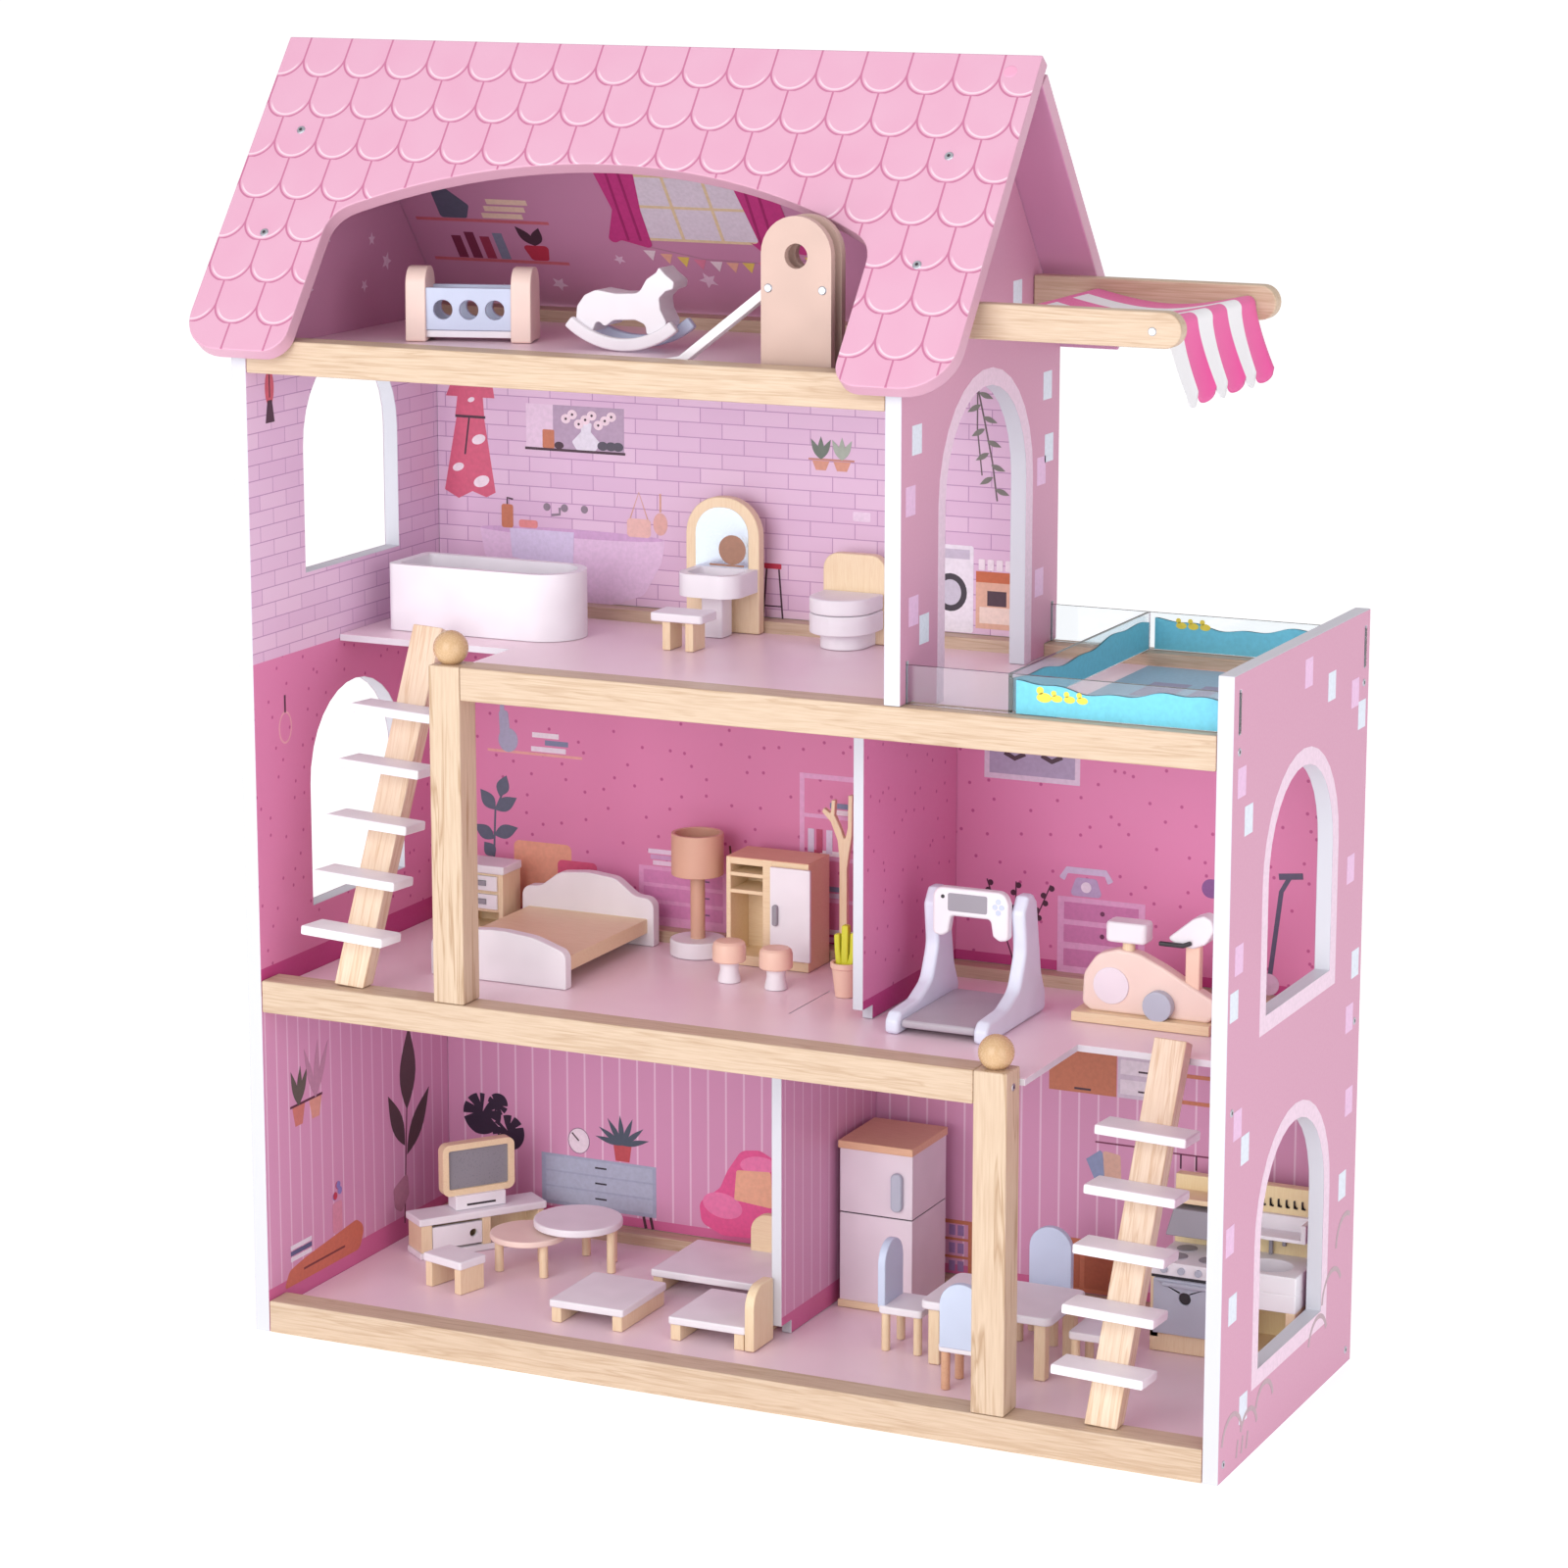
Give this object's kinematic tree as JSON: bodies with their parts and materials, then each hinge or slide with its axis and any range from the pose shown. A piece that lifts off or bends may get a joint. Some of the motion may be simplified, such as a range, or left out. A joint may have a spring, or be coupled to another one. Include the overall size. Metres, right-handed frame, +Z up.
{
  "type": "wooden dollhouse",
  "caption": "Open-front wooden dollhouse on several storeys with a pitched roof, a balcony with a striped awning, ladders and a set of small wooden furniture.",
  "frame": {"origin": "on the floor under the middle of the house's box", "axes": "+Z up, -Y out of the open front, +X towards the balcony side"},
  "size_m": [0.785, 0.3216, 0.9385],
  "materials": {
    "pine": "clear satin lacquer on pine",
    "printed_outer": "printed pink boards outside, printed room pictures inside",
    "room_print": "printed room pictures on thin board",
    "white_board": "white laminate",
    "floor_pink": "pale pink printed floor",
    "roof_print": "printed pink shingles",
    "beech": "clear satin lacquer on beech",
    "peach_paint": "satin paint",
    "sky_paint": "satin paint",
    "white_paint": "satin paint",
    "tan_paint": "satin paint",
    "slate_paint": "satin paint",
    "awning_cotton": "dyed cotton",
    "clear_acrylic": "polished clear sheet"
  },
  "bodies": {
    "house": {"left_wall": "printed_outer", "tower_wall": "printed_outer", "right_wall": "printed_outer", "back_panel_ground": "room_print", "back_panel_first": "room_print", "back_panel_second": "room_print", "base_deck": "pine", "beam_first": "pine", "beam_second": "pine", "beam_attic": "pine", "post_left": "pine", "post_right": "pine", "floor_first": "floor_pink", "floor_second": "floor_pink", "floor_attic": "floor_pink", "partition_ground": "white_board", "partition_first": "white_board", "roof_front": "roof_print", "roof_rear": "roof_print", "awning_frame": "pine", "awning_cloth": "awning_cotton", "pane_front": "clear_acrylic", "pane_middle": "clear_acrylic", "pane_rear": "clear_acrylic", "washstand": "sky_paint", "toilet": "white_paint", "nightstand": "peach_paint", "wardrobe": "peach_paint", "tv": "slate_paint", "tv_cabinet": "peach_paint", "fridge": "white_paint", "kitchen_unit": "peach_paint"},
    "slide": {"slide": "tan_paint"},
    "crib": {"crib": "sky_paint"},
    "bathtub": {"bathtub": "white_paint"},
    "bath_stool": {"bath_stool": "peach_paint"},
    "floor_lamp": {"floor_lamp": "beech"},
    "mushroom_stool_left": {"mushroom_stool_left": "peach_paint"},
    "mushroom_stool_right": {"mushroom_stool_right": "peach_paint"},
    "bed": {"bed": "beech"},
    "treadmill": {"treadmill": "peach_paint"},
    "exercise_bike": {"exercise_bike": "beech"},
    "living_stool": {"living_stool": "peach_paint"},
    "coffee_table_big": {"coffee_table_big": "beech"},
    "sofa_ottoman": {"sofa_ottoman": "sky_paint"},
    "sofa_corner": {"sofa_corner": "sky_paint"},
    "sofa_bench": {"sofa_bench": "sky_paint"},
    "dining_table": {"dining_table": "beech"},
    "chair_left": {"chair_left": "peach_paint"},
    "chair_front": {"chair_front": "peach_paint"},
    "chair_back": {"chair_back": "peach_paint"},
    "chair_right": {"chair_right": "peach_paint"},
    "coffee_table_small": {"coffee_table_small": "beech"},
    "rocking_horse": {"rocking_horse": "peach_paint"},
    "toilet_lid": {"toilet_lid": "beech"},
    "wardrobe_door": {"wardrobe_door": "sky_paint"},
    "tv_cabinet_drawer": {"tv_cabinet_drawer": "sky_paint"},
    "oven_door": {"oven_door": "sky_paint"},
    "ladder_left": {"ladder_left": "beech"},
    "ladder_right": {"ladder_right": "beech"}
  },
  "joints": [
    {"name": "toilet_lid_hinge", "type": "hinge", "parent": "house", "child": "toilet_lid", "pos_m": [0.0105, 0.10611, 0.5426], "axis": [-1, 0, 0], "range_deg": [0, 85]},
    {"name": "wardrobe_door_hinge", "type": "hinge", "parent": "house", "child": "wardrobe_door", "pos_m": [-0.0099, 0.07811, 0.2593], "axis": [0, 0, 1], "range_deg": [0, 100]},
    {"name": "oven_door_hinge", "type": "hinge", "parent": "house", "child": "oven_door", "pos_m": [0.295, 0.05801, 0.03], "axis": [1, 0, 0], "range_deg": [0, 85]},
    {"name": "tv_cabinet_drawer_slide", "type": "slide", "parent": "house", "child": "tv_cabinet_drawer", "axis": [0.7986, -0.6018, 0], "range_m": [0, 0.02]},
    {"name": "rocking_horse_rock", "type": "hinge", "parent": "house", "child": "rocking_horse", "pos_m": [-0.108, -0.01569, 0.7957], "axis": [0, 1, 0], "range_deg": [-10, 10]},
    {"name": "ladder_left_tilt", "type": "hinge", "parent": "house", "child": "ladder_left", "pos_m": [-0.2699, -0.13069, 0.2683], "axis": [1, 0, 0], "range_deg": [0, 20]},
    {"name": "ladder_right_tilt", "type": "hinge", "parent": "house", "child": "ladder_right", "pos_m": [0.3151, -0.13069, 0.0243], "axis": [1, 0, 0], "range_deg": [0, 20]},
    {"name": "coffee_table_small_pull", "type": "slide", "parent": "house", "child": "coffee_table_small", "axis": [0, -1, 0], "range_m": [0, 0.015]},
    {"name": "slide_lift", "type": "slide", "parent": "house", "child": "slide", "axis": [0, 0, 1], "range_m": [0, 0.015]},
    {"name": "crib_lift", "type": "slide", "parent": "house", "child": "crib", "axis": [0, 0, 1], "range_m": [0, 0.015]},
    {"name": "bathtub_lift", "type": "slide", "parent": "house", "child": "bathtub", "axis": [0, 0, 1], "range_m": [0, 0.015]},
    {"name": "bath_stool_lift", "type": "slide", "parent": "house", "child": "bath_stool", "axis": [0, 0, 1], "range_m": [0, 0.015]},
    {"name": "floor_lamp_lift", "type": "slide", "parent": "house", "child": "floor_lamp", "axis": [0, 0, 1], "range_m": [0, 0.015]},
    {"name": "mushroom_stool_left_lift", "type": "slide", "parent": "house", "child": "mushroom_stool_left", "axis": [0, 0, 1], "range_m": [0, 0.015]},
    {"name": "mushroom_stool_right_lift", "type": "slide", "parent": "house", "child": "mushroom_stool_right", "axis": [0, 0, 1], "range_m": [0, 0.015]},
    {"name": "bed_lift", "type": "slide", "parent": "house", "child": "bed", "axis": [0, 0, 1], "range_m": [0, 0.015]},
    {"name": "treadmill_lift", "type": "slide", "parent": "house", "child": "treadmill", "axis": [0, 0, 1], "range_m": [0, 0.015]},
    {"name": "exercise_bike_lift", "type": "slide", "parent": "house", "child": "exercise_bike", "axis": [0, 0, 1], "range_m": [0, 0.015]},
    {"name": "living_stool_lift", "type": "slide", "parent": "house", "child": "living_stool", "axis": [0, 0, 1], "range_m": [0, 0.015]},
    {"name": "coffee_table_big_lift", "type": "slide", "parent": "house", "child": "coffee_table_big", "axis": [0, 0, 1], "range_m": [0, 0.015]},
    {"name": "sofa_ottoman_lift", "type": "slide", "parent": "house", "child": "sofa_ottoman", "axis": [0, 0, 1], "range_m": [0, 0.015]},
    {"name": "sofa_corner_lift", "type": "slide", "parent": "house", "child": "sofa_corner", "axis": [0, 0, 1], "range_m": [0, 0.015]},
    {"name": "sofa_bench_lift", "type": "slide", "parent": "house", "child": "sofa_bench", "axis": [0, 0, 1], "range_m": [0, 0.015]},
    {"name": "dining_table_lift", "type": "slide", "parent": "house", "child": "dining_table", "axis": [0, 0, 1], "range_m": [0, 0.015]},
    {"name": "chair_left_lift", "type": "slide", "parent": "house", "child": "chair_left", "axis": [0, 0, 1], "range_m": [0, 0.015]},
    {"name": "chair_front_lift", "type": "slide", "parent": "house", "child": "chair_front", "axis": [0, 0, 1], "range_m": [0, 0.015]},
    {"name": "chair_back_lift", "type": "slide", "parent": "house", "child": "chair_back", "axis": [0, 0, 1], "range_m": [0, 0.015]},
    {"name": "chair_right_lift", "type": "slide", "parent": "house", "child": "chair_right", "axis": [0, 0, 1], "range_m": [0, 0.015]}
  ]
}
